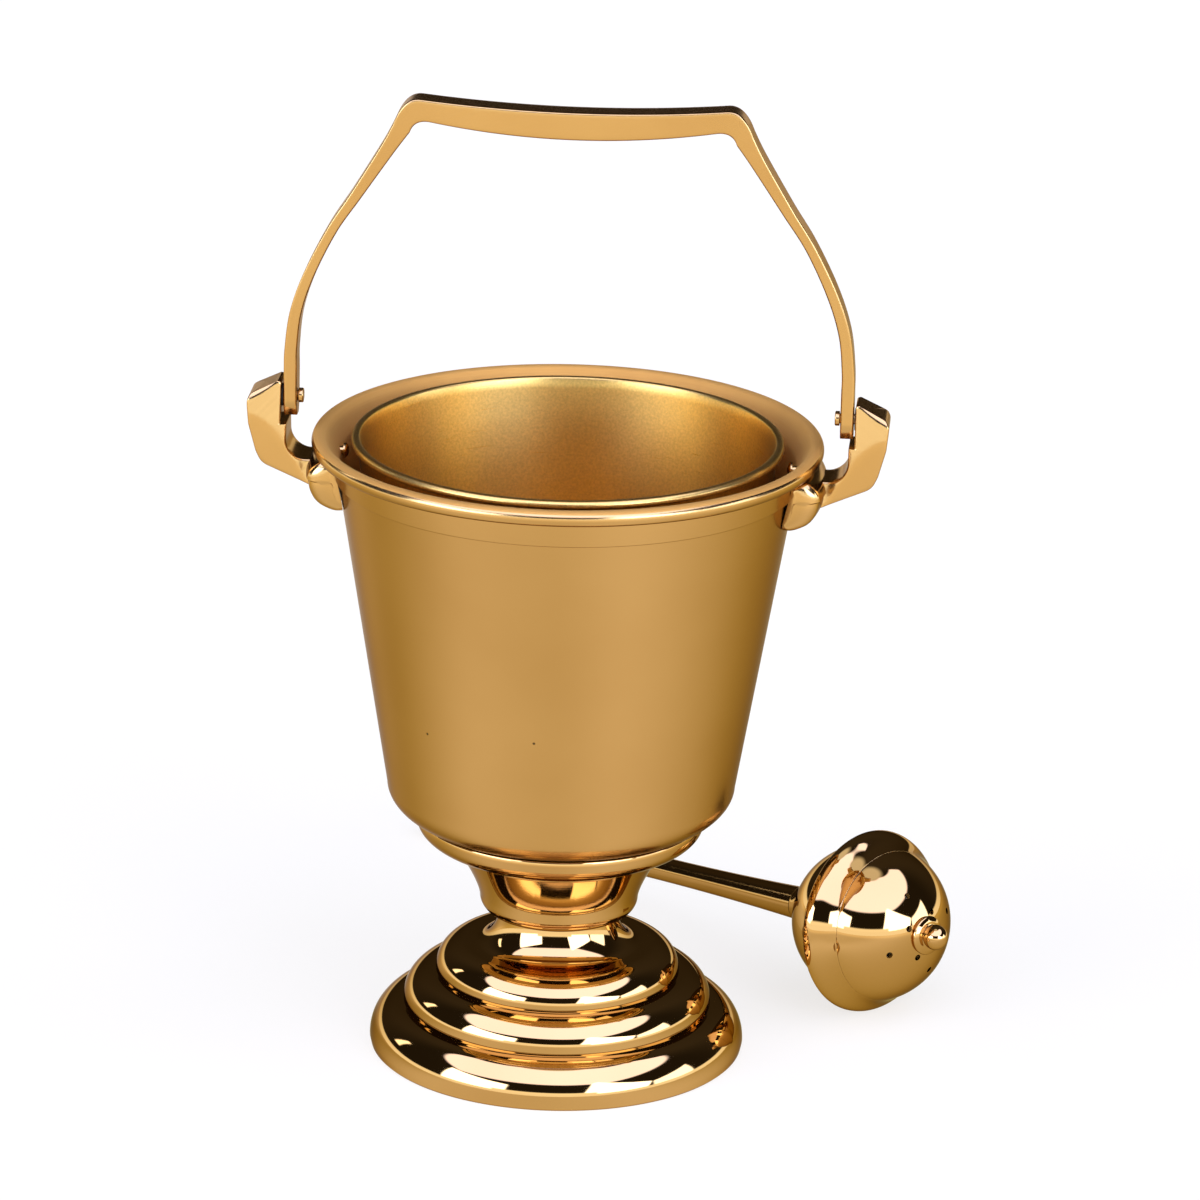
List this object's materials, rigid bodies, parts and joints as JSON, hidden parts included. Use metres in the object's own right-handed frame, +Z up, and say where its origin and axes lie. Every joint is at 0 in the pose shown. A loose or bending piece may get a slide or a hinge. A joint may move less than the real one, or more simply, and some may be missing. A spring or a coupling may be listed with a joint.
{
  "type": "holy water pot with sprinkler",
  "caption": "Footed brass pail with swinging bail handle, removable inner liner, and a round-headed sprinkler lying beside it.",
  "frame": {"origin": "at table level, in the middle of the rectangle that the pot and the sprinkler cover together", "axes": "+Z up, +X from the left ear to the right ear, -Y towards the viewer of the picture"},
  "size_m": [0.2134, 0.256, 0.2949],
  "materials": {
    "polished_brass": "mirror polished",
    "bowl_brass": "polished",
    "liner_brass": "satin",
    "rubber": "matte",
    "steel": "plain",
    "sponge": "open foam"
  },
  "bodies": {
    "pot": {"foot": "polished_brass", "knop": "polished_brass", "saucer": "polished_brass", "bowl": "bowl_brass", "center_bolt": "polished_brass", "bolt_seal": "rubber", "foot_washer": "steel", "foot_nut": "steel", "left_ear": "polished_brass", "left_upper_rivet": "polished_brass", "left_lower_rivet": "polished_brass", "left_pivot_pin": "bowl_brass", "left_pivot_washer": "rubber", "right_ear": "polished_brass", "right_upper_rivet": "polished_brass", "right_lower_rivet": "polished_brass", "right_pivot_pin": "bowl_brass", "right_pivot_washer": "rubber"},
    "bail": {"bail": "bowl_brass"},
    "liner": {"liner": "liner_brass"},
    "sprinkler": {"head_shell": "polished_brass", "sponge": "sponge", "ferrule": "polished_brass", "handle": "polished_brass", "end_knob": "polished_brass"},
    "cap_seal": {"cap_seal": "rubber"},
    "cap": {"head_cap": "polished_brass", "finial": "polished_brass"}
  },
  "joints": [
    {"name": "bail_swing", "type": "hinge", "parent": "pot", "child": "bail", "pos_m": [-0.01146, -0.05208, 0.2022], "axis": [1, 0, 0], "range_deg": [-110, 110]},
    {"name": "liner_lift", "type": "slide", "parent": "pot", "child": "liner", "axis": [0, 0, 1], "range_m": [0, 0.06]},
    {"name": "sprinkler_lift", "type": "slide", "parent": "pot", "child": "sprinkler", "axis": [0, 0, 1], "range_m": [0, 0.08]},
    {"name": "cap_travel", "type": "slide", "parent": "sprinkler", "child": "cap_seal", "axis": [0.733, -0.6717, 0.107], "range_m": [0, 0.0046]},
    {"name": "cap_unscrew", "type": "hinge", "parent": "cap_seal", "child": "cap", "pos_m": [0.08164, -0.01228, 0.0285], "axis": [0.733, -0.6717, 0.107], "range_deg": [0, 1080]}
  ],
  "couplings": [
    {"joint": "cap_travel", "follows": "cap_unscrew", "m_per_rad": 0.00023873}
  ]
}
